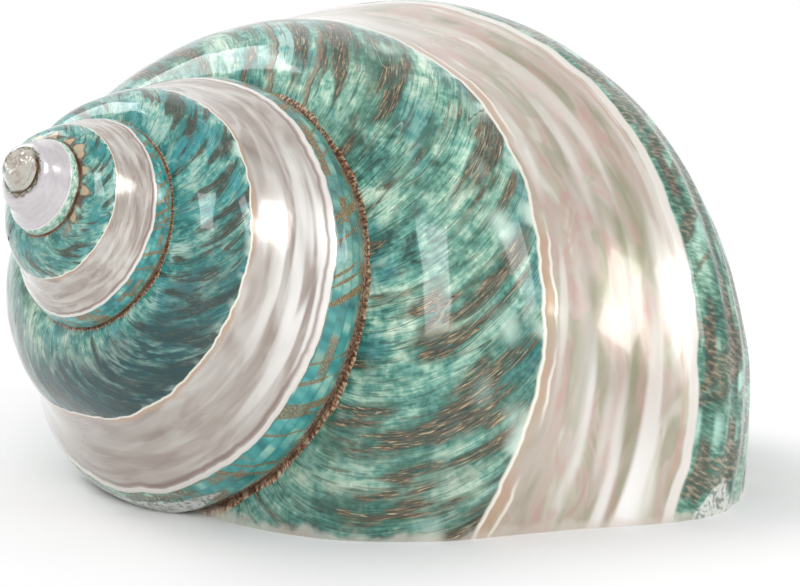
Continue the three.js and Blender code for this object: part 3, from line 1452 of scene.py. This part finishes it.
    def _worn_edge(self, under: bpy.types.NodeSocket) -> bpy.types.NodeSocket:
        """The edge by the floor, worn pale and chipped on the base side.

        Args:
            under: The colour of the whole shell.

        Returns:
            The colour with the worn edge.
        """
        height = self.add("ShaderNodeSeparateXYZ", None, {0: self.place}).outputs[2]
        ragged = self.value(height) / MM + (self.noise(self.place, 500.0, 3.0) - 0.5) * 2.5
        worn = self.mix(ragged.fall(0.2, 1.0) * 0.6, under, "cfc6bb")
        chips = (ragged - self.degrees.bump(84.0, 9.0) * 2.6).fall(0.0, 0.5)
        scratched = self.noise(self.place, 1300.0, 3.0, 1.0)
        stone = self.ramp(scratched, (0.4, "878b86"), (0.48, "c6cac3"), (0.6, "d9dad4"))
        return self.mix(chips * self.degrees.rise(76.0, 79.0) * 0.9, worn, stone)

    def _surface(self, band: Value) -> None:
        """Fine relief: growth lines on the green, long soft waves on the nacre.

        Args:
            band: One on the nacre.
        """
        lines = self.streaks(1.4, 0.1, 91.0, 3.0, 0.3)
        waves = self.swirls(0.16, 0.02, 93.0, 1.0)
        height = lines * (1 - band) * 0.7 + waves * band * 0.45
        self.relief(height * self.whorl, 0.2 * MM, 0.6)


class MouthFinish(Finish):
    """Nacre inside the mouth and on the columella."""

    def __init__(self) -> None:
        """Writes the material."""
        super().__init__("mouth nacre", roughness=0.25, coat=0.8)
        soft = self.noise(self.place, 120.0, 3.0, 0.6)
        pearl = self.ramp(soft, (0.35, "cfc9bd"), (0.5, "e2dad2"), (0.62, "e6e4dd"))
        self.set("Base Color", pearl)
        self.relief(self.noise(self.place, 260.0, 2.0), 0.05 * MM)


class EdgeFinish(Finish):
    """The ground edge of the lip, where the layers show."""

    def __init__(self) -> None:
        """Writes the material."""
        super().__init__("ground lip", roughness=0.45, coat=0.2)
        soft = self.noise(self.place, 300.0, 3.0)
        self.set("Base Color", self.ramp(soft, (0.4, "c9c4b4"), (0.6, "e6e1d6")))


@dataclass(frozen=True)
class Softbox:
    """A rectangular light that faces the shell.

    Attributes:
        name: The light's name.
        heading: Its direction from the shell, in degrees from the camera's side to the right.
        height: Its direction above the floor, in degrees.
        wide: Its width as the shell sees it, in degrees.
        tall: Its height as the shell sees it, in degrees.
        brightness: Its radiance.
    """

    name: str
    heading: float
    height: float
    wide: float
    tall: float
    brightness: float

    def build(self, distance: float, aim: Vector) -> None:
        """Hangs the light.

        Args:
            distance: From the shell, in metres.
            aim: The point it faces.
        """
        heading, height = math.radians(self.heading), math.radians(self.height)
        level = distance * math.cos(height)
        offset = Vector(
            (level * math.sin(heading), -level * math.cos(heading), distance * math.sin(height))
        )
        light = bpy.data.lights.new(self.name, "AREA")
        light.shape = "RECTANGLE"
        light.size = 2 * distance * math.tan(math.radians(self.wide / 2))
        light.size_y = 2 * distance * math.tan(math.radians(self.tall / 2))
        light.energy = self.brightness * math.pi * light.size * light.size_y
        lamp = bpy.data.objects.new(self.name, light)
        lamp.location = aim + offset
        lamp.rotation_euler = (-offset).to_track_quat("-Z", "Y").to_euler()
        bpy.context.scene.collection.objects.link(lamp)


@dataclass
class Studio:
    """The floor, the soft lights and the camera.

    Attributes:
        floor_side: The floor's width, in metres.
        floor_white: How white it is.
        surround: Radiance of the even surround.
        distance: Distance of the lights from the shell, in metres.
        wall_behind: Distance of the wall behind the shell, in metres.
        bend: Radius of the bend between floor and wall, in metres.
        bend_steps: Steps of the bend.
        aim: What the lights face.
        camera_place: Where the camera is.
        camera_down: How far it looks down, in radians.
        camera_near: The nearest that it sees, in metres.
        lens: Its focal length, in millimetres.
        softboxes: The lights.
    """

    floor_side: float = 60.0
    floor_white: float = 0.82
    surround: float = 0.72
    distance: float = 20.0
    wall_behind: float = 10.0
    bend: float = 3.0
    bend_steps: int = 12
    aim: Vector = field(default_factory=lambda: Vector((0, 0, 20 * MM)))
    camera_place: Vector = field(default_factory=lambda: Vector((1.16, -167.4, 41.7)) * MM)
    camera_down: float = math.radians(8.54)
    camera_near: float = 0.005
    lens: float = 86.5
    softboxes: tuple[Softbox, ...] = (
        Softbox("window left", 3.0, 31.0, 25.0, 27.0, 6.0),
        Softbox("window right", 63.0, 25.0, 18.0, 20.0, 5.0),
        Softbox("back light", -108.0, 52.0, 28.0, 22.0, 6.0),
    )

    def build(self) -> None:
        """Makes all of it."""
        self._floor()
        self._world()
        for softbox in self.softboxes:
            softbox.build(self.distance, self.aim)
        self._camera()
        bpy.context.scene.view_settings.view_transform = "Standard"

    def _floor(self) -> None:
        """A plain pale floor that bends up into a wall behind the shell."""
        half = self.floor_side / 2
        rows = [(-half, 0.0), (self.wall_behind - self.bend, 0.0)]
        for step in range(1, self.bend_steps + 1):
            angle = math.pi / 2 * step / self.bend_steps
            back = self.wall_behind - self.bend * (1 - math.sin(angle))
            rows.append((back, self.bend * (1 - math.cos(angle))))
        rows.append((self.wall_behind, half))
        corners = [(side * half, back, height) for back, height in rows for side in (-1, 1)]
        faces = [(2 * i, 2 * i + 1, 2 * i + 3, 2 * i + 2) for i in range(len(rows) - 1)]
        mesh = bpy.data.meshes.new("floor")
        mesh.from_pydata(corners, [], faces)
        mesh.shade_smooth()
        floor = bpy.data.objects.new("floor", mesh)
        bpy.context.scene.collection.objects.link(floor)
        material = bpy.data.materials.new("pale floor")
        material.use_nodes = True
        shader = material.node_tree.nodes["Principled BSDF"]
        shader.inputs["Base Color"].default_value = (*(3 * [self.floor_white]), 1)
        shader.inputs["Roughness"].default_value = 0.9
        shader.inputs["Specular IOR Level"].default_value = 0.1
        mesh.materials.append(material)

    def _world(self) -> None:
        """An even, pale surround."""
        world = bpy.data.worlds.new("studio")
        world.use_nodes = True
        background = world.node_tree.nodes["Background"]
        background.inputs["Color"].default_value = (1, 1, 1, 1)
        background.inputs["Strength"].default_value = self.surround
        bpy.context.scene.world = world

    def _camera(self) -> None:
        """The camera, level with the shell and close to it."""
        data = bpy.data.cameras.new("camera")
        data.lens = self.lens
        data.clip_start = self.camera_near
        camera = bpy.data.objects.new("camera", data)
        camera.location = self.camera_place
        camera.rotation_euler = (math.pi / 2 - self.camera_down, 0.0, 0.0)
        bpy.context.scene.collection.objects.link(camera)
        bpy.context.scene.camera = camera


def main() -> None:
    """Builds the shell, its finishes and the studio."""
    logging.basicConfig(level=logging.INFO, format="%(name)s: %(message)s")
    turban = TurbanShell()
    mouth = MouthFinish().material
    finishes = {
        Kind.OUTSIDE: OuterFinish(turban.bands, turban.growth).material,
        Kind.CAVITY: mouth,
        Kind.COLUMELLA: mouth,
        Kind.GROUND_EDGE: EdgeFinish().material,
    }
    shell = turban.build(finishes)
    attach(shell, "root")
    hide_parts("shell")
    log.info("shell: %d faces", len(shell.data.polygons))
    studio = Studio()
    studio.build()
    log.info("studio: floor, camera and %d lights", len(studio.softboxes))


if __name__ == "__main__":
    main()
